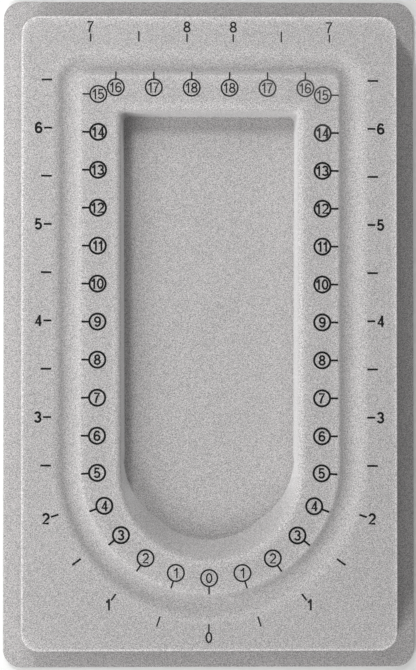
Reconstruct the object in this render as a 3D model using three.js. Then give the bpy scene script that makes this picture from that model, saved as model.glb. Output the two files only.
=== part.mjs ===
// Bead board: a tray vacuum-formed from one plastic sheet, with flock glued over its whole upper face.
// A round-bottomed groove runs in a horseshoe loop round a deep well with a scooped end, and a flat flange
// carries the tray on the table. Three layers follow each other everywhere: sheet, adhesive film, flock.
// Millimetres. +X across the board, +Y towards its square end, +Z up, origin under its middle on the table.
import * as THREE from 'three';

// Outline and height, over the flock
const BOARD_WIDTH = 109.8;
const BOARD_LENGTH = 178;
const BOARD_HEIGHT = 11;
const BOARD_CORNER = 4.8;

// The three layers, from the table side up
const SHEET_THICKNESS = 0.5;
const ADHESIVE_THICKNESS = 0.1;
const FLOCK_THICKNESS = 0.3;
const STACK = SHEET_THICKNESS + ADHESIVE_THICKNESS + FLOCK_THICKNESS;

// Flat flange round the foot of the outer wall
const FLANGE_WIDTH = 4.5;

// Outer wall. Rounded edges are given at the mould, under the sheet, so that they suit any thickness.
const WALL_LEAN = THREE.MathUtils.degToRad(3);
const WALL_EDGE_RADIUS = 0.1 + STACK;
const WALL_FOOT_RADIUS = 0.4;
const PLATEAU_CORNER = 3.8;

// Flat shelf between the outer wall's rounded edge and the groove
const SHELF_AT_SIDES = 6.7;
const SHELF_AT_TOP = 7.9;
const SHELF_AT_END = 6.3;

// Groove: a round bottom between two rounded lips, with a tighter inner half along the top
const GROOVE_DEPTH = 1.6;
const GROOVE_RADIUS = 3.3;
const GROOVE_OUTER_LIP_RADIUS = 3.7 + STACK;
const GROOVE_INNER_LIP_RADIUS = 0.6 + STACK;
const GROOVE_INNER_CORNER = 1.1;
const GROOVE_TOP_INNER_SHARE = 0.62;

// Flat land between the groove and the well
const LAND_AT_SIDES = 8.4;
const LAND_AT_TOP = 7.4;
const LAND_AT_END = 7.2;

// Well: steep at the sides and the top, and opening into a scoop round the end
const WELL_DEPTH = 7;
const WELL_EDGE_RADIUS = 0.9 + STACK;
const WELL_FOOT_RADIUS = 0.3;
const WELL_CORNER = 1.6;
const WELL_SIDE_LEAN = THREE.MathUtils.degToRad(6);
const WELL_TOP_LEAN = THREE.MathUtils.degToRad(8);
const WELL_SCOOP_LEAN = THREE.MathUtils.degToRad(36);
const SCOOP_LEAD_IN = 2;
const SCOOP_BLEND_ANGLE = THREE.MathUtils.degToRad(45);

// Faceting: steps along each stretch of a loop and of a section
const CORNER_STEPS = 4;
const LEAD_STEPS = 2;
const END_STEPS = 19;
const EDGE_STEPS = 4;
const FOOT_STEPS = 2;
const LIP_STEPS = 3;
const GROOVE_STEPS = 5;

// Angles of n equal steps from one angle to another, both ends included
function sweep(from, to, steps) {
  return Array.from({ length: steps + 1 }, (_, i) => from + ((to - from) * i) / steps);
}

const onCircle = (x, y, radius, angle) => [x + radius * Math.cos(angle), y + radius * Math.sin(angle)];

// Points of a quarter circle that begins at the given angle
function cornerPoints(x, y, radius, start, steps) {
  return sweep(start, start + Math.PI / 2, steps).map((angle) => onCircle(x, y, radius, angle));
}

// How far a formed wall runs sideways by the time it has fallen so far below the flat above it:
// round its rounded edge, down its leaning flank, and out along its rounded foot.
function wallRun(wall, lean, fall) {
  const turn = Math.PI / 2 - lean;
  const edgeFall = wall.edge * (1 - Math.cos(turn));
  const footRise = wall.foot * (1 - Math.cos(turn));
  const flankFall = wall.drop - edgeFall - footRise;
  const total = (wall.edge + wall.foot) * Math.sin(turn) + flankFall * Math.tan(lean);
  const left = wall.drop - fall;
  if (fall < edgeFall) return Math.sqrt(Math.max(0, wall.edge ** 2 - (wall.edge - fall) ** 2));
  if (left < footRise) return total - Math.sqrt(Math.max(0, wall.foot ** 2 - (wall.foot - left) ** 2));
  return wall.edge * Math.sin(turn) + (fall - edgeFall) * Math.tan(lean);
}

// The levels at which a wall gets a loop of points, each with the slope of its steepest flank there
function wallLevels(wall, lean) {
  const turn = Math.PI / 2 - lean;
  const edge = sweep(0, turn, EDGE_STEPS).map((tilt) => ({
    tilt,
    fall: wall.edge * (1 - Math.cos(tilt)),
  }));
  const foot = sweep(turn, 0, FOOT_STEPS).map((tilt) => ({
    tilt,
    fall: wall.drop - wall.foot * (1 - Math.cos(tilt)),
  }));
  return [...edge, ...foot];
}

// A wall of a face that lies deeper in the stack has a tighter edge and a wider foot about the same centres.
const deeper = (wall, depth) => ({ drop: wall.drop, edge: wall.edge - depth, foot: wall.foot + depth });

const OUTER_WALL = { drop: BOARD_HEIGHT - STACK, edge: WALL_EDGE_RADIUS, foot: WALL_FOOT_RADIUS };
const WELL_WALL = { drop: WELL_DEPTH, edge: WELL_EDGE_RADIUS, foot: WELL_FOOT_RADIUS };

// Sizes that follow from the driving ones, from the outside inwards
const OUTER_WALL_RUN = wallRun(OUTER_WALL, WALL_LEAN, OUTER_WALL.drop);
const PLATEAU_HALF_WIDTH = BOARD_WIDTH / 2 - FLANGE_WIDTH - OUTER_WALL_RUN;
const PLATEAU_HALF_LENGTH = BOARD_LENGTH / 2 - FLANGE_WIDTH - OUTER_WALL_RUN;
const lipSlope = (lipRadius) => Math.acos(1 - GROOVE_DEPTH / (GROOVE_RADIUS + lipRadius));
const OUTER_LIP_SLOPE = lipSlope(GROOVE_OUTER_LIP_RADIUS);
const INNER_LIP_SLOPE = lipSlope(GROOVE_INNER_LIP_RADIUS);
const GROOVE_OUTER_HALF = (GROOVE_RADIUS + GROOVE_OUTER_LIP_RADIUS) * Math.sin(OUTER_LIP_SLOPE);
const GROOVE_INNER_HALF = (GROOVE_RADIUS + GROOVE_INNER_LIP_RADIUS) * Math.sin(INNER_LIP_SLOPE);
const GROOVE_HALF_WIDTH = PLATEAU_HALF_WIDTH - SHELF_AT_SIDES - GROOVE_OUTER_HALF;
const GROOVE_TOP_Y = PLATEAU_HALF_LENGTH - SHELF_AT_TOP - GROOVE_OUTER_HALF;
const END_CENTRE_Y = -PLATEAU_HALF_LENGTH + SHELF_AT_END + GROOVE_OUTER_HALF + GROOVE_HALF_WIDTH;
const WELL_HALF_WIDTH = GROOVE_HALF_WIDTH - GROOVE_INNER_HALF - LAND_AT_SIDES;
const WELL_TOP_Y = GROOVE_TOP_Y - GROOVE_INNER_HALF * GROOVE_TOP_INNER_SHARE - LAND_AT_TOP;
const WELL_END_CENTRE_Y = END_CENTRE_Y - (LAND_AT_SIDES - LAND_AT_END);

const LEAD_HEIGHTS = sweep(0, SCOOP_LEAD_IN, LEAD_STEPS).slice(1);

// A closed loop of plan points, counter-clockwise from the right side: two top corners, the left side's
// lead-in, the end, and the right side's lead-in. Every loop has as many points, so loops join one to one.
// endY is where the straight sides reach the end, and sideAt gives their half width above it.
function loopOf(halfWidth, topY, corner, endPoints, endY, sideAt) {
  const cornerX = halfWidth - corner;
  const cornerY = topY - corner;
  const topRight = cornerPoints(cornerX, cornerY, corner, 0, CORNER_STEPS);
  const topLeft = cornerPoints(-cornerX, cornerY, corner, Math.PI / 2, CORNER_STEPS);
  const rightSide = LEAD_HEIGHTS.map((height) => [sideAt(height), endY + height]);
  const leftSide = rightSide.map(([x, y]) => [-x, y]).reverse();
  return [...topRight, ...topLeft, ...leftSide, ...endPoints, ...rightSide];
}

// Rounded rectangle, with half of the end points in each of its lower corners
function rectangleLoop(halfWidth, halfLength, corner) {
  const steps = (END_STEPS - 1) / 2;
  const cornerX = halfWidth - corner;
  const cornerY = corner - halfLength;
  const lowLeft = cornerPoints(-cornerX, cornerY, corner, Math.PI, steps);
  const lowRight = cornerPoints(cornerX, cornerY, corner, 1.5 * Math.PI, steps);
  const end = [...lowLeft, ...lowRight];
  return loopOf(halfWidth, halfLength, corner, end, END_CENTRE_Y, () => halfWidth);
}

// Horseshoe: straight sides, two small top corners and a half-round end
function horseshoeLoop(halfWidth, topY, corner) {
  const end = sweep(Math.PI, 2 * Math.PI, END_STEPS).map((a) => onCircle(0, END_CENTRE_Y, halfWidth, a));
  return loopOf(halfWidth, topY, corner, end, END_CENTRE_Y, () => halfWidth);
}

// The well's lean at a distance along its edge from where the scoop begins: it opens steadily
function scoopLean(distance) {
  const blendLength = SCOOP_LEAD_IN + WELL_HALF_WIDTH * SCOOP_BLEND_ANGLE;
  const share = THREE.MathUtils.clamp(distance / blendLength, 0, 1);
  return Math.atan(THREE.MathUtils.lerp(Math.tan(WELL_SIDE_LEAN), Math.tan(WELL_SCOOP_LEAN), share));
}

function wellLoop(wall, level, depth) {
  const runFor = (lean) => wallRun(wall, lean, level.fall);
  const end = sweep(Math.PI, 2 * Math.PI, END_STEPS).map((a) => {
    const fromSide = Math.min(a - Math.PI, 2 * Math.PI - a);
    const lean = scoopLean(SCOOP_LEAD_IN + WELL_HALF_WIDTH * fromSide);
    return onCircle(0, WELL_END_CENTRE_Y, WELL_HALF_WIDTH - runFor(lean), a);
  });
  const sideAt = (height) => WELL_HALF_WIDTH - runFor(scoopLean(SCOOP_LEAD_IN - height));
  const corner = WELL_CORNER + depth * Math.sin(level.tilt);
  const halfWidth = WELL_HALF_WIDTH - runFor(WELL_SIDE_LEAN);
  const topY = WELL_TOP_Y - runFor(WELL_TOP_LEAN);
  return loopOf(halfWidth, topY, corner, end, WELL_END_CENTRE_Y, sideAt);
}

// The groove's section from its outer lip to its inner one: distance out from its middle line, and fall
function grooveSection(depth) {
  const outerLip = sweep(0, OUTER_LIP_SLOPE, LIP_STEPS).map((a) => ({
    out: GROOVE_OUTER_HALF - (GROOVE_OUTER_LIP_RADIUS - depth) * Math.sin(a),
    fall: GROOVE_OUTER_LIP_RADIUS - (GROOVE_OUTER_LIP_RADIUS - depth) * Math.cos(a),
  }));
  const bottom = sweep(OUTER_LIP_SLOPE, -INNER_LIP_SLOPE, GROOVE_STEPS).map((a) => ({
    out: (GROOVE_RADIUS + depth) * Math.sin(a),
    fall: GROOVE_DEPTH - GROOVE_RADIUS + (GROOVE_RADIUS + depth) * Math.cos(a),
  }));
  const innerLip = sweep(INNER_LIP_SLOPE, 0, LIP_STEPS).map((a) => ({
    out: -GROOVE_INNER_HALF + (GROOVE_INNER_LIP_RADIUS - depth) * Math.sin(a),
    fall: GROOVE_INNER_LIP_RADIUS - (GROOVE_INNER_LIP_RADIUS - depth) * Math.cos(a),
  }));
  return [...outerLip, ...bottom.slice(1, -1), ...innerLip];
}

const atHeight = (loop, z) => loop.map(([x, y]) => new THREE.Vector3(x, y, z));

// The loops of one face of the stack, from the flange's trimmed edge to the well's floor.
// depth is how far the face lies under the flocked one.
function faceLoops(depth) {
  const top = BOARD_HEIGHT - depth;
  const trim = atHeight(rectangleLoop(BOARD_WIDTH / 2, BOARD_LENGTH / 2, BOARD_CORNER), STACK - depth);

  const outerWall = deeper(OUTER_WALL, depth);
  const wallLoops = wallLevels(outerWall, WALL_LEAN).reverse().map(({ fall }) => {
    const run = wallRun(outerWall, WALL_LEAN, fall);
    const corner = PLATEAU_CORNER + run;
    return atHeight(rectangleLoop(PLATEAU_HALF_WIDTH + run, PLATEAU_HALF_LENGTH + run, corner), top - fall);
  });

  const grooveLoops = grooveSection(depth).map(({ out, fall }) => {
    const corner = GROOVE_INNER_CORNER + GROOVE_INNER_HALF + out;
    const topOut = out > 0 ? out : out * GROOVE_TOP_INNER_SHARE;
    const plan = horseshoeLoop(GROOVE_HALF_WIDTH + out, GROOVE_TOP_Y + topOut, corner);
    return atHeight(plan, BOARD_HEIGHT - fall);
  });

  const wellWall = deeper(WELL_WALL, depth);
  const wellLoops = wallLevels(wellWall, WELL_SIDE_LEAN).map((level) =>
    atHeight(wellLoop(wellWall, level, depth), top - level.fall));

  return [trim, ...wallLoops, ...grooveLoops, ...wellLoops];
}

// Joins the loops of two faces into one closed surface: bands between neighbouring loops, a flat cap on
// each floor, and a band round the trimmed edge. Both faces have the same diagonals, so layers meet exactly.
function closedSurface(upper, lower) {
  const count = upper[0].length;
  const positions = [...upper, ...lower].flat().flatMap((point) => point.toArray());
  const index = [];
  const band = (outer, inner, flip) => {
    for (let i = 0; i < count; i += 1) {
      const next = (i + 1) % count;
      const corners = [outer + i, outer + next, inner + next, outer + i, inner + next, inner + i];
      index.push(...(flip ? corners.reverse() : corners));
    }
  };
  const face = (loops, start, flip) => {
    for (let ring = 0; ring + 1 < loops.length; ring += 1) {
      band(start + ring * count, start + (ring + 1) * count, flip);
    }
    const floor = start + (loops.length - 1) * count;
    const plan = loops.at(-1).map((point) => new THREE.Vector2(point.x, point.y));
    for (const corners of THREE.ShapeUtils.triangulateShape(plan, [])) {
      index.push(...(flip ? corners.reverse() : corners).map((corner) => floor + corner));
    }
  };
  const lowerStart = upper.length * count;
  face(upper, 0, false);
  face(lower, lowerStart, true);
  band(lowerStart, 0, false);
  const geometry = new THREE.BufferGeometry();
  geometry.setAttribute('position', new THREE.Float32BufferAttribute(positions, 3));
  geometry.setIndex(index);
  geometry.computeVertexNormals();
  return geometry;
}

// One layer of the stack, between the face at a depth and the one its own thickness below
function layer(name, depth, thickness, material) {
  const mesh = new THREE.Mesh(closedSurface(faceLoops(depth), faceLoops(depth + thickness)), material);
  mesh.name = name;
  return mesh;
}

const polystyrene = new THREE.MeshStandardMaterial({ color: 0x9a9a9b, roughness: 0.45, metalness: 0 });
const driedAdhesive = new THREE.MeshStandardMaterial({ color: 0xa9a7a4, roughness: 0.6, metalness: 0 });
const greyFlock = new THREE.MeshStandardMaterial({ color: 0xb6b4b3, roughness: 1, metalness: 0 });

const beadBoard = new THREE.Group();
beadBoard.name = 'bead_board';
beadBoard.add(
  layer('formed_tray', FLOCK_THICKNESS + ADHESIVE_THICKNESS, SHEET_THICKNESS, polystyrene),
  layer('adhesive_film', FLOCK_THICKNESS, ADHESIVE_THICKNESS, driedAdhesive),
  layer('flock_coat', 0, FLOCK_THICKNESS, greyFlock),
);

export default beadBoard;
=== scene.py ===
# Bead board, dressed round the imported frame: a vacuum-formed sheet, the flock glued over it
# and two printed scales.
import math

import bpy
import numpy as np
from mathutils import Matrix, Vector


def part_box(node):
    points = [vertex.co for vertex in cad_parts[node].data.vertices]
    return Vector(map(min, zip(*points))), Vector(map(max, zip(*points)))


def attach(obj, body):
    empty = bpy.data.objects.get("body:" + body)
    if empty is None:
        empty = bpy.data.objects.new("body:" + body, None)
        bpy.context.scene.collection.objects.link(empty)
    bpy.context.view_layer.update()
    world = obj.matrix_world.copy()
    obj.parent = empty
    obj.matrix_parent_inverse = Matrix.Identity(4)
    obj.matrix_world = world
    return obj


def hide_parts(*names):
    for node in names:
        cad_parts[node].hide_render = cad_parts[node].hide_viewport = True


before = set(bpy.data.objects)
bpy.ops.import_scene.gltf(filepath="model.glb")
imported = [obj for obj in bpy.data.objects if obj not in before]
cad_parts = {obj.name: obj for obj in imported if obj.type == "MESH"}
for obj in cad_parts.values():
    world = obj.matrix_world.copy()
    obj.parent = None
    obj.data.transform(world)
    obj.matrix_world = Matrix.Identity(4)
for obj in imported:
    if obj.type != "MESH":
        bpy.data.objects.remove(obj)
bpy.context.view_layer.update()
print("frame loaded:", sorted(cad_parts))

mm = 0.001  # sizes below are in millimetres where no other unit is named, and Blender works in metres


# Shader helpers

def linearColour(hexText):  # sRGB hex to the linear values that shaders take
    channels = [int(hexText[i:i + 2], 16) / 255 for i in (1, 3, 5)]
    return [c / 12.92 if c <= 0.04045 else ((c + 0.055) / 1.055) ** 2.4 for c in channels] + [1.0]


def perMetre(sizeInMm):  # a texture's scale for features of that size
    return 1 / (sizeInMm * mm)


def addNode(tree, kind, settings=None, links=None):  # sockets of a Mix node go by number: their names repeat
    node = tree.nodes.new(kind)
    for name, value in (settings or {}).items():
        if isinstance(name, int) or name in node.inputs:
            node.inputs[name].default_value = value
        else:
            setattr(node, name, value)
    for name, socket in (links or {}).items():
        tree.links.new(socket, node.inputs[name])
    return node


def newMaterial(name):  # an empty node tree, its output and the object's own coordinates
    material = bpy.data.materials.new(name)
    material.use_nodes = True
    tree = material.node_tree
    tree.nodes.clear()
    output = addNode(tree, "ShaderNodeOutputMaterial")
    place = addNode(tree, "ShaderNodeTexCoord").outputs["Object"]
    return material, tree, output, place


# Flocked rayon: millions of short fibres standing in glue. It takes the light softly with no gloss,
# looks grainy where clumps of fibres lean different ways, and turns pale where it is seen along the
# surface. Its colour is painted lighter round an edge, a painted highlight, and darker in a crease,
# painted shade.
flockLook = {
    "lightFibre": "#d6d3d3",
    "darkFibre": "#868585",
    "clumpSize": 0.22,  # fibres are 0.02 mm thick: drawn as clumps, coarse enough to show
    "clumpDetail": 1,
    "clumpRange": (0.35, 0.65),  # noise values that make the darkest and the lightest clumps
    "clumpTurn": (0.55, 0.35, 0.2),  # radians, so that no face lies along the noise's own grid
    "patchSize": 14,
    "patchDetail": 3,
    "patchShare": 0.05,
    "roughness": 1.0,
    "ior": 1.5,
    "specular": 0.1,  # fibres scatter nearly all that they reflect
    "sheen": 1.0,
    "sheenRoughness": 0.5,
    "napDetail": 2,
    "bumpHeight": 0.05,
    "bumpStrength": 0.6,
    "fullRelief": 1.1,  # how far the surface stands out from its surroundings where the painted highlight is full
    "fanShade": 1.5,  # how much lighter the colour is painted there: a painted highlight
    "fanLean": 0.45,  # how far the shading normal turns there to face upwards
    "fullShadeDepth": 0.6,  # how far it lies in its surroundings where the painted crease shade is full
    "paintedCreaseShade": 0.88,  # how much of the colour is left there: painted shade
}


def fibreColour(tree, place):  # light and dark clumps, with a trace of larger patches
    tilted = addNode(tree, "ShaderNodeMapping", {"Rotation": flockLook["clumpTurn"]}, {"Vector": place})
    clumps = addNode(tree, "ShaderNodeTexNoise",
                     {"Scale": perMetre(flockLook["clumpSize"]), "Detail": flockLook["clumpDetail"]},
                     {"Vector": tilted.outputs["Vector"]})
    darkest, lightest = flockLook["clumpRange"]
    clumpShade = addNode(tree, "ShaderNodeMapRange", {"From Min": darkest, "From Max": lightest},
                         {"Value": clumps.outputs["Fac"]})
    patches = addNode(tree, "ShaderNodeTexNoise",
                      {"Scale": perMetre(flockLook["patchSize"]), "Detail": flockLook["patchDetail"]},
                      {"Vector": place})
    shade = addNode(tree, "ShaderNodeMix", {"data_type": "FLOAT", 0: flockLook["patchShare"]},
                    {2: clumpShade.outputs["Result"], 3: patches.outputs["Fac"]})
    colour = addNode(tree, "ShaderNodeMix",
                     {"data_type": "RGBA", 6: linearColour(flockLook["darkFibre"]),
                      7: linearColour(flockLook["lightFibre"])},
                     {0: shade.outputs[0]})
    return colour.outputs[2]


def fanShade(tree, relief):  # a painted highlight where the surface stands out, painted shade where it lies in a crease
    paintedLight = addNode(tree, "ShaderNodeMapRange",
                     {"From Max": flockLook["fullRelief"], "To Min": 1, "To Max": flockLook["fanShade"]},
                     {"Value": relief})
    paintedShade = addNode(tree, "ShaderNodeMapRange",
                      {"From Min": -flockLook["fullShadeDepth"], "From Max": 0,
                       "To Min": flockLook["paintedCreaseShade"]},
                      {"Value": relief})
    shade = addNode(tree, "ShaderNodeMath", {"operation": "MULTIPLY"},
                    {0: paintedLight.outputs["Result"], 1: paintedShade.outputs["Result"]})
    return shade.outputs["Value"]


def napNormal(tree, place, relief):  # leans upwards where the surface stands out, and is finely bumpy
    lean = addNode(tree, "ShaderNodeMapRange",
                   {"From Max": flockLook["fullRelief"], "To Max": flockLook["fanLean"]}, {"Value": relief})
    up = addNode(tree, "ShaderNodeVectorTransform",
                 {"vector_type": "NORMAL", "convert_from": "OBJECT", "convert_to": "WORLD",
                  "Vector": (0, 0, 1)})
    surface = addNode(tree, "ShaderNodeNewGeometry")
    leaning = addNode(tree, "ShaderNodeMix", {"data_type": "VECTOR"},
                      {0: lean.outputs["Result"], 4: surface.outputs["Normal"], 5: up.outputs["Vector"]})
    nap = addNode(tree, "ShaderNodeTexNoise",
                  {"Scale": perMetre(flockLook["clumpSize"]), "Detail": flockLook["napDetail"]},
                  {"Vector": place})
    bump = addNode(tree, "ShaderNodeBump",
                   {"Strength": flockLook["bumpStrength"], "Distance": flockLook["bumpHeight"] * mm},
                   {"Height": nap.outputs["Fac"], "Normal": leaning.outputs[1]})
    return bump.outputs["Normal"]


def greyFlock():
    material, tree, output, place = newMaterial("flocked_rayon_grey")
    relief = addNode(tree, "ShaderNodeAttribute", {"attribute_name": "painted_shading_relief"}).outputs["Fac"]
    # the base colour is painted lighter round edges and darker in creases: painted highlight and painted
    # shade
    lit = addNode(tree, "ShaderNodeVectorMath", {"operation": "SCALE"},
                  {0: fibreColour(tree, place), "Scale": fanShade(tree, relief)})
    shader = addNode(tree, "ShaderNodeBsdfPrincipled",
                     {"Roughness": flockLook["roughness"], "IOR": flockLook["ior"],
                      "Specular IOR Level": flockLook["specular"],
                      "Sheen Weight": flockLook["sheen"], "Sheen Roughness": flockLook["sheenRoughness"]},
                     {"Base Color": lit.outputs["Vector"], "Normal": napNormal(tree, place, relief)})
    tree.links.new(shader.outputs["BSDF"], output.inputs["Surface"])
    return material


# High-impact polystyrene, drawn hot over a mould: satin, with the faint orange peel of stretched sheet.
sheetLook = {
    "colour": "#8f8f90",
    "darker": "#868687",
    "peelSize": 1.6,
    "peelDetail": 2,
    "peelHeight": 0.02,
    "peelStrength": 0.4,
    "roughness": 0.42,
    "ior": 1.59,
}


def formedPolystyrene():
    material, tree, output, place = newMaterial("vacuum_formed_polystyrene")
    peel = addNode(tree, "ShaderNodeTexNoise",
                   {"Scale": perMetre(sheetLook["peelSize"]), "Detail": sheetLook["peelDetail"]},
                   {"Vector": place})
    colour = addNode(tree, "ShaderNodeMix",
                     {"data_type": "RGBA", 6: linearColour(sheetLook["darker"]),
                      7: linearColour(sheetLook["colour"])},
                     {0: peel.outputs["Fac"]})
    bump = addNode(tree, "ShaderNodeBump",
                   {"Strength": sheetLook["peelStrength"], "Distance": sheetLook["peelHeight"] * mm},
                   {"Height": peel.outputs["Fac"]})
    shader = addNode(tree, "ShaderNodeBsdfPrincipled",
                     {"Roughness": sheetLook["roughness"], "IOR": sheetLook["ior"]},
                     {"Base Color": colour.outputs[2], "Normal": bump.outputs["Normal"]})
    tree.links.new(shader.outputs["BSDF"], output.inputs["Surface"])
    return material


# Water-based flocking adhesive, rolled on and dried: a dull film, seen only as a line at the trimmed edge.
filmLook = {
    "colour": "#a5a29f",
    "darker": "#93908d",
    "streakSize": 2.5,
    "roughness": 0.6,
    "ior": 1.48,
}


def driedAdhesive():
    material, tree, output, place = newMaterial("dried_flock_adhesive")
    streaks = addNode(tree, "ShaderNodeTexNoise", {"Scale": perMetre(filmLook["streakSize"])},
                      {"Vector": place})
    colour = addNode(tree, "ShaderNodeMix",
                     {"data_type": "RGBA", 6: linearColour(filmLook["darker"]),
                      7: linearColour(filmLook["colour"])},
                     {0: streaks.outputs["Fac"]})
    shader = addNode(tree, "ShaderNodeBsdfPrincipled",
                     {"Roughness": filmLook["roughness"], "IOR": filmLook["ior"]},
                     {"Base Color": colour.outputs[2]})
    tree.links.new(shader.outputs["BSDF"], output.inputs["Surface"])
    return material


# Screen ink on fibre tips: black and matt, with grey fibres showing between where the screen pressed
# less, which is towards both ends and most of all in one corner.
inkLook = {
    "ink": "#0a0a0a",
    "fibre": "#a9a7a6",
    "speckSize": 0.22,  # as coarse as the flock's clumps, to show
    "speckShare": 0.03,
    "endFrom": 56,  # from the board's middle to where paling begins
    "endTo": 70,  # and to where it is full
    "endShare": 0.04,  # how much of the fibres shows there
    "cornerX": 24,  # the pale corner's middle
    "cornerY": 66,
    "cornerReach": 24,
    "cornerShare": 0.22,
    "roughness": 0.9,
    "ior": 1.5,
    "specular": 0.2,
}


def bareFibre(tree, place):  # how much of the fibres shows through the ink
    specks = addNode(tree, "ShaderNodeTexVoronoi", {"Scale": perMetre(inkLook["speckSize"])},
                     {"Vector": place})
    axes = addNode(tree, "ShaderNodeSeparateXYZ", links={"Vector": place})
    fromMiddle = addNode(tree, "ShaderNodeMath", {"operation": "ABSOLUTE"}, {0: axes.outputs["Y"]})
    ends = addNode(tree, "ShaderNodeMapRange",
                   {"From Min": inkLook["endFrom"] * mm, "From Max": inkLook["endTo"] * mm,
                    "To Max": inkLook["endShare"]},
                   {"Value": fromMiddle.outputs["Value"]})
    middle = (inkLook["cornerX"] * mm, inkLook["cornerY"] * mm, 0)
    fromCorner = addNode(tree, "ShaderNodeVectorMath", {"operation": "DISTANCE", 1: middle}, {0: place})
    corner = addNode(tree, "ShaderNodeMapRange",
                     {"From Max": inkLook["cornerReach"] * mm, "To Min": inkLook["cornerShare"],
                      "To Max": 0},
                     {"Value": fromCorner.outputs["Value"]})
    pale = addNode(tree, "ShaderNodeMath", {"operation": "ADD"},
                   {0: ends.outputs["Result"], 1: corner.outputs["Result"]})
    bare = addNode(tree, "ShaderNodeMath", {"operation": "MULTIPLY_ADD", 1: inkLook["speckShare"]},
                   {0: specks.outputs["Color"], 2: pale.outputs["Value"]})
    return bare.outputs["Value"]


def screenInk():
    material, tree, output, place = newMaterial("screen_ink_on_flock")
    colour = addNode(tree, "ShaderNodeMix",
                     {"data_type": "RGBA", 6: linearColour(inkLook["ink"]),
                      7: linearColour(inkLook["fibre"])},
                     {0: bareFibre(tree, place)})
    shader = addNode(tree, "ShaderNodeBsdfPrincipled",
                     {"Roughness": inkLook["roughness"], "IOR": inkLook["ior"],
                      "Specular IOR Level": inkLook["specular"]},
                     {"Base Color": colour.outputs[2]})
    tree.links.new(shader.outputs["BSDF"], output.inputs["Surface"])
    return material


# The board's form. What the frame's boxes don't give is written here, with leans and turns in degrees
# and radii as they are at the flock's face.
boardForm = {
    "corner": 4.8,
    "flange": 4.5,
    "trimRounding": 0.2,  # fibres splay at the cut edge
    "wallLean": 3,
    "wallEdge": 1.0,
    "napEdge": 0.45,  # fibres fill the outer edge out, so that it looks crisper than the sheet under it
    "wallFoot": 0.4,
    "plateauCorner": 3.8,
    "sideShelf": 6.7,
    "topShelf": 7.9,
    "endShelf": 6.3,
    "grooveDepth": 1.6,
    "grooveRadius": 3.3,
    "outerLip": 4.6,
    "innerLip": 1.5,
    "grooveCorner": 1.1,
    "topInnerShare": 0.62,  # how much of the groove's inner half is left along the top
    "sideLand": 8.4,
    "topLand": 7.4,
    "endLand": 7.2,
    "wellDepth": 7,
    "wellEdge": 1.8,
    "wellFoot": 0.3,
    "wellCorner": 1.6,
    "sideLean": 6,
    "topLean": 8,
    "scoopLean": 36,
    "scoopLeadIn": 2,  # along each side before the round end, where the wall begins to lean further
    "scoopBlend": 45,  # how far round the end it leans fully
}
fineness = {  # steps along each stretch of a loop, and from loop to loop
    "corner": 10,
    "top": 30,
    "side": 60,
    "end": 121,
    "trim": 5,
    "edge": 12,
    "foot": 6,
    "lip": 8,
    "groove": 14,
}
flatShares = (0.03, 0.2, 0.4, 0.6, 0.8, 0.97)  # where loops cross a flat: two stay close to its borders
sharpAngle = 40  # degrees between two faces from which their edge looks sharp

filmLow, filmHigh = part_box("adhesive_film")
flockLow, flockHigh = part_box("flock_coat")
halfWidth = flockHigh.x / mm
halfLength = flockHigh.y / mm
inkRise = 0.022  # the printed ink is the highest of the board, and the flock's face lies this much below it
height = flockHigh.z / mm - inkRise
sheetThickness = filmLow.z / mm
filmThickness = (flockLow.z - filmLow.z) / mm
flockThickness = (flockHigh.z - filmHigh.z) / mm
stack = sheetThickness + filmThickness + flockThickness


def wallRun(wall, lean, fall):  # how far a formed wall has run sideways once it has fallen so far
    turn = math.pi / 2 - lean
    edgeFall = wall["edge"] * (1 - np.cos(turn))
    footRise = wall["foot"] * (1 - np.cos(turn))
    flankFall = wall["drop"] - edgeFall - footRise
    total = (wall["edge"] + wall["foot"]) * np.sin(turn) + flankFall * np.tan(lean)
    left = wall["drop"] - fall
    onEdge = np.sqrt(np.maximum(0, wall["edge"] ** 2 - (wall["edge"] - fall) ** 2))
    onFoot = total - np.sqrt(np.maximum(0, wall["foot"] ** 2 - (wall["foot"] - left) ** 2))
    onFlank = wall["edge"] * np.sin(turn) + (fall - edgeFall) * np.tan(lean)
    return np.where(fall < edgeFall, onEdge, np.where(left < footRise, onFoot, onFlank))


def wallLevels(wall, lean):  # (tilt, fall) of each loop down a wall
    turn = math.pi / 2 - lean
    edge = [(tilt, wall["edge"] * (1 - math.cos(tilt)))
            for tilt in np.linspace(0, turn, fineness["edge"] + 1)]
    foot = [(tilt, wall["drop"] - wall["foot"] * (1 - math.cos(tilt)))
            for tilt in np.linspace(turn, 0, fineness["foot"] + 1)]
    return edge + foot


def wallAt(drop, edge, foot, depth):  # a deeper face of the stack has a tighter edge and a wider foot
    return {"drop": drop, "edge": edge - depth, "foot": foot + depth}


wallLean = math.radians(boardForm["wallLean"])
sideLean = math.radians(boardForm["sideLean"])
topLean = math.radians(boardForm["topLean"])
scoopLean = math.radians(boardForm["scoopLean"])
wallDrop = height - stack
faceWall = wallAt(wallDrop, boardForm["wallEdge"], boardForm["wallFoot"], 0)
outerRun = float(wallRun(faceWall, wallLean, wallDrop))
footHalfWidth = halfWidth - boardForm["flange"]
footHalfLength = halfLength - boardForm["flange"]
footCorner = boardForm["plateauCorner"] + outerRun
plateauHalfWidth = footHalfWidth - outerRun
plateauHalfLength = footHalfLength - outerRun
outerLip = boardForm["outerLip"]
innerLip = boardForm["innerLip"]
outerSlope = math.acos(1 - boardForm["grooveDepth"] / (boardForm["grooveRadius"] + outerLip))
innerSlope = math.acos(1 - boardForm["grooveDepth"] / (boardForm["grooveRadius"] + innerLip))
grooveOuterHalf = (boardForm["grooveRadius"] + outerLip) * math.sin(outerSlope)
grooveInnerHalf = (boardForm["grooveRadius"] + innerLip) * math.sin(innerSlope)
grooveHalfWidth = plateauHalfWidth - boardForm["sideShelf"] - grooveOuterHalf
grooveTop = plateauHalfLength - boardForm["topShelf"] - grooveOuterHalf
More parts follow.
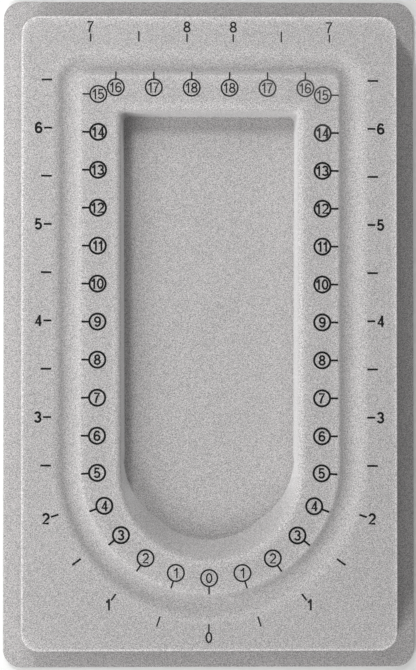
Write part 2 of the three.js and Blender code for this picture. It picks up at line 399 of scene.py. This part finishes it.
endCentre = -plateauHalfLength + boardForm["endShelf"] + grooveOuterHalf + grooveHalfWidth
wellHalfWidth = grooveHalfWidth - grooveInnerHalf - boardForm["sideLand"]
wellTop = grooveTop - grooveInnerHalf * boardForm["topInnerShare"] - boardForm["topLand"]
wellEndCentre = endCentre - (boardForm["sideLand"] - boardForm["endLand"])


def arc(x, y, radius, start, end, steps):  # plan points on an arc, angles in quarter turns
    angles = np.linspace(start, end, steps + 1) * math.pi / 2
    return np.stack([x + radius * np.cos(angles), y + radius * np.sin(angles)], axis=1)


def between(a, b, steps):  # the points between two, without them
    shares = np.linspace(0, 1, steps + 1)[1:-1, None]
    return a + (b - a) * shares


def planLoop(half, top, corner, end):  # a closed loop from the top right corner, counter-clockwise
    right = arc(half - corner, top - corner, corner, 0, 1, fineness["corner"])
    left = arc(corner - half, top - corner, corner, 1, 2, fineness["corner"])
    return np.vstack([right, between(right[-1], left[0], fineness["top"]), left,
                      between(left[-1], end[0], fineness["side"]), end,
                      between(end[-1], right[0], fineness["side"])])


def rectangleLoop(half, length, corner):
    steps = (fineness["end"] - 1) // 2
    low = [arc(corner - half, corner - length, corner, 2, 3, steps),
           arc(half - corner, corner - length, corner, 3, 4, steps)]
    return planLoop(half, length, corner, np.vstack(low))


def horseshoeLoop(half, top, corner):
    return planLoop(half, top, corner, arc(0, endCentre, half, 2, 4, fineness["end"]))


def leanAlong(distance):  # the well's lean that far along its edge from where the scoop begins
    blendLength = boardForm["scoopLeadIn"] + wellHalfWidth * math.radians(boardForm["scoopBlend"])
    share = np.clip(distance / blendLength, 0, 1)
    return np.arctan(np.tan(sideLean) + (np.tan(scoopLean) - np.tan(sideLean)) * share)


def wellLoop(wall, tilt, fall, depth):
    angles = np.linspace(0, math.pi, fineness["end"] + 1)
    fromSide = np.minimum(angles, math.pi - angles)
    endLean = leanAlong(boardForm["scoopLeadIn"] + wellHalfWidth * fromSide)
    radius = wellHalfWidth - wallRun(wall, endLean, fall)
    end = np.stack([-radius * np.cos(angles), wellEndCentre - radius * np.sin(angles)], axis=1)
    corner = boardForm["wellCorner"] + depth * math.sin(tilt)
    sideHalf = wellHalfWidth - float(wallRun(wall, sideLean, fall))
    loop = planLoop(sideHalf, wellTop - float(wallRun(wall, topLean, fall)), corner, end)
    above = loop[:, 1] - wellEndCentre
    onSide = (above > 0) & (above < boardForm["scoopLeadIn"])
    sideRun = wallRun(wall, leanAlong(boardForm["scoopLeadIn"] - above[onSide]), fall)
    loop[onSide, 0] = np.sign(loop[onSide, 0]) * (wellHalfWidth - sideRun)
    return loop


def grooveSection(depth):  # (distance out from the groove's middle line, fall), from outer lip to inner lip
    lipShares = np.linspace(0, 1, fineness["lip"] + 1)
    outerRadius = outerLip - depth
    outer = [(grooveOuterHalf - outerRadius * math.sin(a), outerLip - outerRadius * math.cos(a))
             for a in lipShares * outerSlope]
    radius = boardForm["grooveRadius"] + depth
    centreFall = boardForm["grooveDepth"] - boardForm["grooveRadius"]
    bottom = [(radius * math.sin(a), centreFall + radius * math.cos(a))
              for a in np.linspace(outerSlope, -innerSlope, fineness["groove"] + 1)[1:-1]]
    innerRadius = innerLip - depth
    inner = [(innerRadius * math.sin(a) - grooveInnerHalf, innerLip - innerRadius * math.cos(a))
             for a in lipShares[::-1] * innerSlope]
    return outer + bottom + inner


def atHeight(loop, z):
    return np.column_stack([loop, np.full(len(loop), z)])


def flatLoops(outer, inner):  # loops that cross a flat between two others
    return [outer + (inner - outer) * share for share in flatShares]


def trimLoops(depth, rounding):  # the flange's cut edge, up to its upper face
    loops = []
    for tilt in np.linspace(0, math.pi / 2, fineness["trim"] + 1):
        inset = rounding * (1 - math.cos(tilt))
        plan = rectangleLoop(halfWidth - inset, halfLength - inset, boardForm["corner"] - inset)
        loops.append(atHeight(plan, stack - depth - rounding * (1 - math.sin(tilt))))
    return loops if rounding else loops[:1]


def wallLoops(depth):  # the outer wall, from its foot on the flange to the plateau's edge
    wall = wallAt(wallDrop, boardForm["wallEdge"], boardForm["wallFoot"], depth)
    if depth == 0:
        wall["edge"] = boardForm["napEdge"]
    wholeRun = wallRun(wall, wallLean, wallDrop)
    loops = []
    for tilt, fall in reversed(wallLevels(wall, wallLean)):
        inset = float(wholeRun - wallRun(wall, wallLean, fall))
        plan = rectangleLoop(footHalfWidth - inset, footHalfLength - inset, footCorner - inset)
        loops.append(atHeight(plan, height - depth - fall))
    return loops


def grooveLoops(depth):
    loops = []
    for out, fall in grooveSection(depth):
        corner = boardForm["grooveCorner"] + grooveInnerHalf + out
        topOut = out if out > 0 else out * boardForm["topInnerShare"]
        plan = horseshoeLoop(grooveHalfWidth + out, grooveTop + topOut, corner)
        loops.append(atHeight(plan, height - fall))
    return loops


def wellLoops(depth):  # the well's wall and its floor
    wall = wallAt(boardForm["wellDepth"], boardForm["wellEdge"], boardForm["wellFoot"], depth)
    loops = [atHeight(wellLoop(wall, tilt, fall, depth), height - depth - fall)
             for tilt, fall in wallLevels(wall, sideLean)]
    middle = loops[-1].mean(axis=0)
    return loops + flatLoops(loops[-1], np.broadcast_to(middle, loops[-1].shape))


def faceLoops(depth, rounding=0):  # every loop of one face of the stack: its trim, its outside and its inside
    trim = trimLoops(depth, rounding)
    wall = wallLoops(depth)
    groove = grooveLoops(depth)
    well = wellLoops(depth)
    outside = flatLoops(trim[-1], wall[0]) + wall
    inside = flatLoops(wall[-1], groove[0]) + groove + flatLoops(groove[-1], well[0]) + well
    return trim, outside, inside


# Relief for the flock's painted highlight and painted shade: how far each point of a face stands out
# from the surface round it, or lies in it
paintedShadingRelief = {
    "reach": 1.6,  # how much of that surface counts
    "cutOff": 3,  # reaches from a point to where it counts no more
    "step": 0.1,
    "freeEdge": 1.8,  # how much more the relief counts round the plateau's outer edge, which stands free: a stronger painted highlight there
}


def smoothed(points):  # loops blurred across themselves, from one to the next
    pad = round(paintedShadingRelief["cutOff"] * paintedShadingRelief["reach"] / paintedShadingRelief["step"])
    kernel = np.exp(-0.5 * (np.arange(-pad, pad + 1) * paintedShadingRelief["step"] / paintedShadingRelief["reach"]) ** 2)
    kernel /= kernel.sum()
    blurred = np.empty_like(points)
    for i in range(points.shape[1]):
        line = points[:, i]
        along = np.concatenate([[0], np.cumsum(np.linalg.norm(np.diff(line, axis=0), axis=1))])
        even = np.arange(0, along[-1], paintedShadingRelief["step"])
        for axis in range(3):
            sampled = np.pad(np.interp(even, along, line[:, axis]), pad, mode="edge")
            blurred[:, i, axis] = np.interp(along, even, np.convolve(sampled, kernel, mode="valid"))
    return blurred


def addFibreFan(mesh, trim, outside, inside):  # the trimmed edge gets no relief: no painted highlight or shade there
    points = np.stack(outside + inside)
    count = points.shape[1]
    first = len(trim) * count
    last = first + len(points) * count
    normals = np.empty(len(mesh.vertices) * 3)
    mesh.vertices.foreach_get("normal", normals)
    normals = normals.reshape(-1, 3)[first:last].reshape(points.shape)
    standsOut = ((points - smoothed(points)) * normals).sum(axis=2)
    free = standsOut[:len(outside)]
    # a stronger painted highlight round the plateau's free outer edge
    free *= np.where(free > 0, paintedShadingRelief["freeEdge"], 1)
    relief = np.zeros(len(mesh.vertices))
    relief[first:last] = standsOut.ravel()
    mesh.attributes.new("painted_shading_relief", "FLOAT", "POINT").data.foreach_set("value", relief)


def bandFaces(start, loops, count):  # four-cornered faces from each loop to the next
    step = np.arange(count)
    after = (step + 1) % count
    bands = []
    for ring in range(loops - 1):
        near = start + ring * count
        far = near + count
        bands.append(np.stack([near + step, near + after, far + after, far + step], axis=1))
    return np.vstack(bands)


def layerMesh(name, depth, thickness, rounding=0):  # one closed layer of the stack, as a smooth mesh
    trim, outside, inside = faceLoops(depth, rounding)
    upper = trim + outside + inside
    lower = sum(faceLoops(depth + thickness), [])
    count = len(upper[0])
    step = np.arange(count)
    after = (step + 1) % count
    lowerStart = len(upper) * count
    lowerEnd = lowerStart + (len(lower) - 1) * count
    edge = np.stack([lowerStart + step, lowerStart + after, after, step], axis=1)
    faces = np.vstack([bandFaces(0, len(upper), count),
                       bandFaces(lowerStart, len(lower), count)[:, ::-1], edge]).tolist()
    faces.append((lowerStart - count + step).tolist())
    faces.append((lowerEnd + step)[::-1].tolist())
    mesh = bpy.data.meshes.new(name)
    mesh.from_pydata((np.vstack(upper + lower) * mm).tolist(), [], faces)
    mesh.shade_smooth()
    mesh.set_sharp_from_angle(angle=math.radians(sharpAngle))
    addFibreFan(mesh, trim, outside, inside)
    return mesh


def addPiece(name, mesh, material):
    piece = bpy.data.objects.new(name, mesh)
    bpy.context.scene.collection.objects.link(piece)
    mesh.materials.append(material)
    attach(piece, "root")
    return piece


sheetMesh = layerMesh("tray_sheet", flockThickness + filmThickness, sheetThickness)
tray = addPiece("tray_sheet", sheetMesh, formedPolystyrene())
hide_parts("formed_tray")
filmMesh = layerMesh("adhesive_layer", flockThickness, filmThickness)
film = addPiece("adhesive_layer", filmMesh, driedAdhesive())
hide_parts("adhesive_film")
napMesh = layerMesh("flock_nap", 0, flockThickness, boardForm["trimRounding"])
nap = addPiece("flock_nap", napMesh, greyFlock())
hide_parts("flock_coat")
print("layers made:", len(napMesh.vertices), "points in the flock")


# Printed marks: flat strokes given a thickness, lying on the tips of the flock
printing = {
    "sunk": 0.02,
    "layers": 3,  # strokes end at that many heights in turn, so that crossing ones stay apart
    "layerStep": 0.001,
    "tickStroke": 0.52,
    "ringStroke": 0.56,
    "stepDegrees": 15,
    "sharpest": 1.2,  # how far a stroke's corner reaches, in half widths
}

# Digits as centre lines, one digit high: points (x, y), and arcs (centre x, y, radius x, y, and from where
# to where in degrees)
digitPaths = {
    "0": [[(0, 0.5, 0.24, 0.425, 0, 360)]],
    "1": [[(-0.2, 1.0, 0.24, 0.27, 265, 350)], [(0.05, 1), (0.05, 0)]],
    "2": [[(0, 0.68, 0.24, 0.245, 170, -40), (-0.25, 0.075), (0.27, 0.075)]],
    "3": [[(0, 0.715, 0.215, 0.21, 165, -95)], [(0, 0.29, 0.25, 0.215, 95, -165)]],
    "4": [[(0.28, 0.28), (-0.25, 0.28), (0.11, 0.9)], [(0.11, 1), (0.11, 0)]],
    "5": [[(0.23, 0.925), (-0.15, 0.925), (-0.205, 0.49), (0, 0.335, 0.25, 0.26, 143, -155)]],
    "6": [[(0, 0.315, 0.245, 0.24, 0, 360)], [(0.01, 0.55, 0.255, 0.375, 35, 180), (-0.245, 0.32)]],
    "7": [[(-0.26, 0.925), (0.25, 0.925), (0.07, 0.62), (-0.04, 0.33), (-0.09, 0)]],
    "8": [[(0, 0.725, 0.205, 0.2, 0, 360)], [(0, 0.29, 0.25, 0.215, 0, 360)]],
    "9": [[(0, 0.685, 0.245, 0.24, 0, 360)], [(-0.01, 0.45, 0.255, 0.375, 215, 360), (0.245, 0.68)]],
}


def pathPoints(path):  # the points of a centre line, and whether it closes on itself
    points = []
    for part in path:
        if len(part) == 2:
            points.append(part)
            continue
        x, y, radiusX, radiusY, start, end = part
        steps = round(abs(end - start) / printing["stepDegrees"])
        points += [(x + radiusX * math.cos(math.radians(a)), y + radiusY * math.sin(math.radians(a)))
                   for a in np.linspace(start, end, steps + 1)]
    closed = np.allclose(points[0], points[-1])
    return np.array(points[:-1] if closed else points), closed


def strokeShape(points, closed, width):  # a band along a centre line: its points and faces
    count = len(points)
    ahead = np.roll(points, -1, axis=0) - points
    ahead /= np.linalg.norm(ahead, axis=1)[:, None]
    behind = np.roll(ahead, 1, axis=0)
    if not closed:
        ahead[-1] = behind[-1]
        behind[0] = ahead[0]
    side = np.stack([-(ahead + behind)[:, 1], (ahead + behind)[:, 0]], axis=1)
    side /= np.linalg.norm(side, axis=1)[:, None]
    reach = 1 / (side * np.stack([-ahead[:, 1], ahead[:, 0]], axis=1)).sum(axis=1)
    side *= width / 2 * np.minimum(reach, printing["sharpest"])[:, None]
    links = [(i, (i + 1) % count) for i in range(count if closed else count - 1)]
    return np.vstack([points - side, points + side]), [[a, b, count + b, count + a] for a, b in links]


def pressure(scale, place):  # how much of its full stroke a mark got there: less towards the screen's ends
    return float(np.interp(abs(place[1]), (scale["thinFrom"], scale["thinTo"]), (1, scale["thinShare"])))


def numberShapes(text, size, share):  # the strokes of a number, centred on the origin
    stroke = size["stroke"] / size["height"] * share
    strokes = []
    right = 0
    for digit in text:
        parts = [strokeShape(*pathPoints(path), stroke) for path in digitPaths[digit]]
        low = min(points[:, 0].min() for points, faces in parts)
        high = max(points[:, 0].max() for points, faces in parts)
        moved = [right - low, -0.5]  # side by side, half of each digit below the origin
        strokes += [((points + moved) * size["height"], faces) for points, faces in parts]
        right += high - low + size["gap"]
    middle = (right - size["gap"]) / 2 * size["height"]
    return [(points - [middle, 0], faces) for points, faces in strokes]


def ringShape(radius, share):
    stroke = printing["ringStroke"] * share
    middle = radius - stroke / 2
    return strokeShape(*pathPoints([(0, 0, middle, middle, 0, 360)]), stroke)


def tickShape(start, end, share):
    return strokeShape(np.array([start, end]), False, printing["tickStroke"] * share)


def printedMesh(name, shapes):  # joins (points, faces, place) shapes into one mesh of closed thin solids
    points = []
    faces = []
    start = 0
    low = height - printing["sunk"]
    for number, (flat, flatFaces, place) in enumerate(shapes):
        high = height + inkRise - printing["layerStep"] * (number % printing["layers"])
        count = len(flat)
        points += [atHeight(flat + np.array(place), high), atHeight(flat + np.array(place), low)]
        sides = {(a, b) for face in flatFaces for a, b in zip(face, face[1:] + face[:1])}
        for face in flatFaces:
            faces.append([start + i for i in face])
            faces.append([start + count + i for i in reversed(face)])
        faces += [[start + b, start + a, start + count + a, start + count + b]
                  for a, b in sorted(sides) if (b, a) not in sides]
        start += 2 * count
    mesh = bpy.data.meshes.new(name)
    mesh.from_pydata((np.vstack(points) * mm).tolist(), [], faces)
    return mesh


def turned(points, degrees):  # plan points turned about the board's middle
    a = math.radians(degrees)
    return np.array(points) @ np.array([[math.cos(a), math.sin(a)], [-math.sin(a), math.cos(a)]])


# Inch scale: half-inch ticks up both sides from zero at the round end, and along the top, with numbers
# at whole inches
inchScale = {
    "halfInch": 12.7,
    "lastHalf": 16,  # half inches on each side
    "topFrom": 14,  # those from here on stand along the top
    "pathRadius": 40.43,  # of the measured path round the end
    "endCentre": -34.9,  # where its centre lies along the board
    "innerEnd": 41.6,  # from the path's centre or middle line to a tick's inner end
    "halfTick": 2.8,
    "wholeTick": 2.1,
    "number": 45.1,  # and to a number's middle
    "topEnd": 76.8,  # from the board's middle to the ticks along the top
    "topNumber": 80.75,
    "topFirst": 6.1,  # from the middle to the last mark on either side
    "digits": {"height": 2.95, "stroke": 0.59, "gap": 0.16},  # the gap in digit heights
    "skew": -0.14,  # degrees that the screen lay turned on the board
    "thinFrom": 67,  # from the board's middle to where strokes begin to thin
    "thinTo": 72,  # and to where they are thin
    "thinShare": 0.78,
}


def inchMarks(scale):  # (half inches, tick's inner end, direction outwards, number's middle)
    stepAngle = scale["halfInch"] / scale["pathRadius"]
    roundEnd = round(math.pi / 2 / stepAngle)  # half inches from zero to the straight sides
    marks = []
    for halves in range(scale["lastHalf"] + 1):
        sides = (1, -1) if halves else (1,)  # zero stands once
        for side in sides:
            angle = min(halves * stepAngle, math.pi / 2)
            out = np.array([side * math.sin(angle), -math.cos(angle)])
            upSide = max(halves - roundEnd, 0) * scale["halfInch"]
            centre = np.array([0, scale["endCentre"] + upSide])
            foot = centre + out * scale["innerEnd"]
            number = centre + out * scale["number"]
            if halves >= scale["topFrom"]:
                x = side * (scale["topFirst"] + (scale["lastHalf"] - halves) * scale["halfInch"])
                out = np.array([0, 1])
                foot = np.array([x, scale["topEnd"]])
                number = np.array([x, scale["topNumber"]])
            marks.append((halves, foot, out, number))
    return marks


def inchPrint(scale):
    shapes = []
    for halves, foot, out, number in inchMarks(scale):
        whole = halves % 2 == 0
        tip = foot + out * (scale["wholeTick"] if whole else scale["halfTick"])
        share = pressure(scale, foot)
        tick = tickShape(turned(foot, scale["skew"]), turned(tip, scale["skew"]), share)
        shapes.append((*tick, (0, 0)))
        if whole:
            place = turned(number, scale["skew"])
            strokes = numberShapes(str(halves // 2), scale["digits"], share)
            shapes += [(points, faces, place) for points, faces in strokes]
    return printedMesh("inch_scale", shapes)


# Centimetre scale: a ringed number at each centimetre of the groove, with a tick towards the groove
centimetreScale = {
    "centimetre": 10.0,
    "last": 18,  # centimetres on each side
    "topFrom": 16,  # those from here on stand along the top
    "pathRadius": 33.3,
    "endCentre": -34.8,
    "ringPlace": 29.6,  # from the path's centre or middle line to a ring's middle
    "ringRadius": 2.4,
    "tick": 4.2,  # from a ring's middle to the end of its tick
    "tickOverlap": 0.1,  # how far a tick runs into its ring
    "topRing": 64.7,
    "topFirst": 5.0,  # from the middle to the last ring on either side
    "digits": {"height": 2.75, "stroke": 0.5, "gap": 0.16},
    "skew": -0.2,
    "shift": (0.1, 0.0),  # how far the screen lay aside
    "thinFrom": 55,
    "thinTo": 62,
    "thinShare": 0.78,
}


def centimetrePrint(scale):
    shapes = []
    tickStart = scale["ringRadius"] - scale["tickOverlap"]
    for count in range(scale["last"] + 1):
        sides = (1, -1) if count else (1,)  # zero stands once
        for side in sides:
            along = count * scale["centimetre"]
            angle = min(along / scale["pathRadius"], math.pi / 2)
            upSide = max(along - scale["pathRadius"] * math.pi / 2, 0)
            out = np.array([side * math.sin(angle), -math.cos(angle)])
            ring = np.array([0, scale["endCentre"] + upSide]) + out * scale["ringPlace"]
            if count >= scale["topFrom"]:
                x = side * (scale["topFirst"] + (scale["last"] - count) * scale["centimetre"])
                ring = np.array([x, scale["topRing"]])
                out = np.array([0, 1])
            place = turned(ring, scale["skew"]) + scale["shift"]
            direction = turned(out, scale["skew"])
            share = pressure(scale, ring)
            marks = [ringShape(scale["ringRadius"], share)]
            marks.append(tickShape(direction * tickStart, direction * scale["tick"], share))
            marks += numberShapes(str(count), scale["digits"], share)
            shapes += [(points, faces, place) for points, faces in marks]
    return printedMesh("centimetre_scale", shapes)


ink = screenInk()
addPiece("inch_scale", inchPrint(inchScale), ink)
addPiece("centimetre_scale", centimetrePrint(centimetreScale), ink)
print("scales printed")


# Studio: a pale floor under soft boxes, the brightest of them beyond the round end and the smallest and
# nearest to the left, so that shadows fall to the right
studio = {
    "floor": "#fafaf9",
    "floorRoughness": 0.9,
    "floorSize": 6.0,  # metres
    "floorDrop": 0.2,  # keeps the floor clear of the flange's underside
    "fadeFrom": 0.15,  # metres from the board to where the floor begins to fade to its plain colour
    "fadeTo": 0.6,  # and to where it is plain
    "plainStrength": 1,  # shows the plain colour as it is written
    "worldLight": "#ffffff",
    "worldStrength": 0.03,
}

# Azimuth in degrees from the board's right side towards its square end, elevation above the floor, distance
# in metres, and spread as the angle that a box fills seen from the board
softboxes = [
    {"name": "key_left", "azimuth": 120, "elevation": 42, "distance": 0.7, "spread": 12, "watts": 1.93},
    {"name": "near_left", "azimuth": 180, "elevation": 32, "distance": 0.35, "spread": 24, "watts": 0.29},
    {"name": "fill_square_end", "azimuth": 90, "elevation": 30, "distance": 2.0, "spread": 30, "watts": 12.1},
    {"name": "fill_round_end", "azimuth": 240, "elevation": 30, "distance": 2.0, "spread": 30, "watts": 26.5},
    {"name": "fill_right", "azimuth": 300, "elevation": 42, "distance": 2.0, "spread": 30, "watts": 7.2},
]


def seenDirectly(tree):  # 1 as seen by the camera, in a reflection or through glass, 0 as light on the board
    path = addNode(tree, "ShaderNodeLightPath")
    seen = addNode(tree, "ShaderNodeMath", {"operation": "MAXIMUM"},
                   {0: path.outputs["Is Camera Ray"], 1: path.outputs["Is Glossy Ray"]})
    seen = addNode(tree, "ShaderNodeMath", {"operation": "MAXIMUM"},
                   {0: seen.outputs["Value"], 1: path.outputs["Is Transmission Ray"]})
    return seen.outputs["Value"]


def paleFloor():  # painted board that takes the shadow, fading to its plain colour further off
    material, tree, output, place = newMaterial("pale_studio_floor")
    colour = linearColour(studio["floor"])
    lit = addNode(tree, "ShaderNodeBsdfPrincipled",
                  {"Base Color": colour, "Roughness": studio["floorRoughness"]})
    plain = addNode(tree, "ShaderNodeEmission", {"Color": colour, "Strength": studio["plainStrength"]})
    away = addNode(tree, "ShaderNodeVectorMath", {"operation": "LENGTH"}, {0: place})
    far = addNode(tree, "ShaderNodeMapRange", {"From Min": studio["fadeFrom"], "From Max": studio["fadeTo"]},
                  {0: away.outputs["Value"]})
    share = addNode(tree, "ShaderNodeMath", {"operation": "MULTIPLY"},
                    {0: far.outputs["Result"], 1: seenDirectly(tree)})
    surface = addNode(tree, "ShaderNodeMixShader",
                      links={0: share.outputs["Value"], 1: lit.outputs["BSDF"], 2: plain.outputs["Emission"]})
    tree.links.new(surface.outputs["Shader"], output.inputs["Surface"])
    return material


def evenLight():  # a little light from all round, and the floor's colour where the surroundings are seen
    world = bpy.data.worlds.new("even_light")
    world.use_nodes = True
    tree = world.node_tree
    tree.nodes.clear()
    around = addNode(tree, "ShaderNodeBackground",
                     {"Color": linearColour(studio["worldLight"]), "Strength": studio["worldStrength"]})
    plain = addNode(tree, "ShaderNodeBackground",
                    {"Color": linearColour(studio["floor"]), "Strength": studio["plainStrength"]})
    shown = addNode(tree, "ShaderNodeMixShader",
                    links={0: seenDirectly(tree), 1: around.outputs["Background"],
                           2: plain.outputs["Background"]})
    addNode(tree, "ShaderNodeOutputWorld", links={"Surface": shown.outputs["Shader"]})
    return world


def addFloor():
    half = studio["floorSize"] / 2
    corners = [(-half, -half, 0), (half, -half, 0), (half, half, 0), (-half, half, 0)]
    mesh = bpy.data.meshes.new("floor")
    mesh.from_pydata(corners, [], [(0, 1, 2, 3)])
    mesh.materials.append(paleFloor())
    floor = bpy.data.objects.new("floor", mesh)
    bpy.context.scene.collection.objects.link(floor)
    floor.location.z = -studio["floorDrop"] * mm


def addSoftbox(box):
    lamp = bpy.data.lights.new(box["name"], "AREA")
    lamp.shape = "DISK"
    lamp.size = 2 * box["distance"] * math.tan(math.radians(box["spread"] / 2))
    lamp.energy = box["watts"]
    azimuth = math.radians(box["azimuth"])
    elevation = math.radians(box["elevation"])
    towards = Vector((math.cos(elevation) * math.cos(azimuth), math.cos(elevation) * math.sin(azimuth),
                      math.sin(elevation)))
    holder = bpy.data.objects.new(box["name"], lamp)
    holder.location = towards * box["distance"]
    holder.rotation_euler = (-towards).to_track_quat("-Z", "Y").to_euler()
    bpy.context.scene.collection.objects.link(holder)


addFloor()
for box in softboxes:
    addSoftbox(box)
bpy.context.scene.world = evenLight()
bpy.context.scene.view_settings.view_transform = "Standard"

# Camera: straight above, a little towards the round end and to the left, as near as the flange's
# parallax says
camera = {
    "distance": 600,
    "aside": (-12, -11),  # from above the board's middle
    "aim": (-0.4, -0.52),
    "framePixels": 670,  # along the picture's long side
    "pixelsPerMm": 3.8,
    "sensor": 36,
}


def addCamera():
    data = bpy.data.cameras.new("camera")
    data.sensor_width = camera["sensor"]
    seen = camera["framePixels"] / camera["pixelsPerMm"]
    data.lens = camera["sensor"] * camera["distance"] / seen
    holder = bpy.data.objects.new("camera", data)
    holder.location = Vector((*camera["aside"], height + camera["distance"])) * mm
    ahead = (Vector((*camera["aim"], height)) * mm - holder.location).normalized()
    right = (Vector((1, 0, 0)) - ahead * ahead.x).normalized()  # keeps the board upright in the picture
    holder.rotation_euler = Matrix((right, right.cross(ahead), -ahead)).transposed().to_euler()
    bpy.context.scene.collection.objects.link(holder)
    bpy.context.scene.camera = holder


addCamera()
print("studio and camera ready")
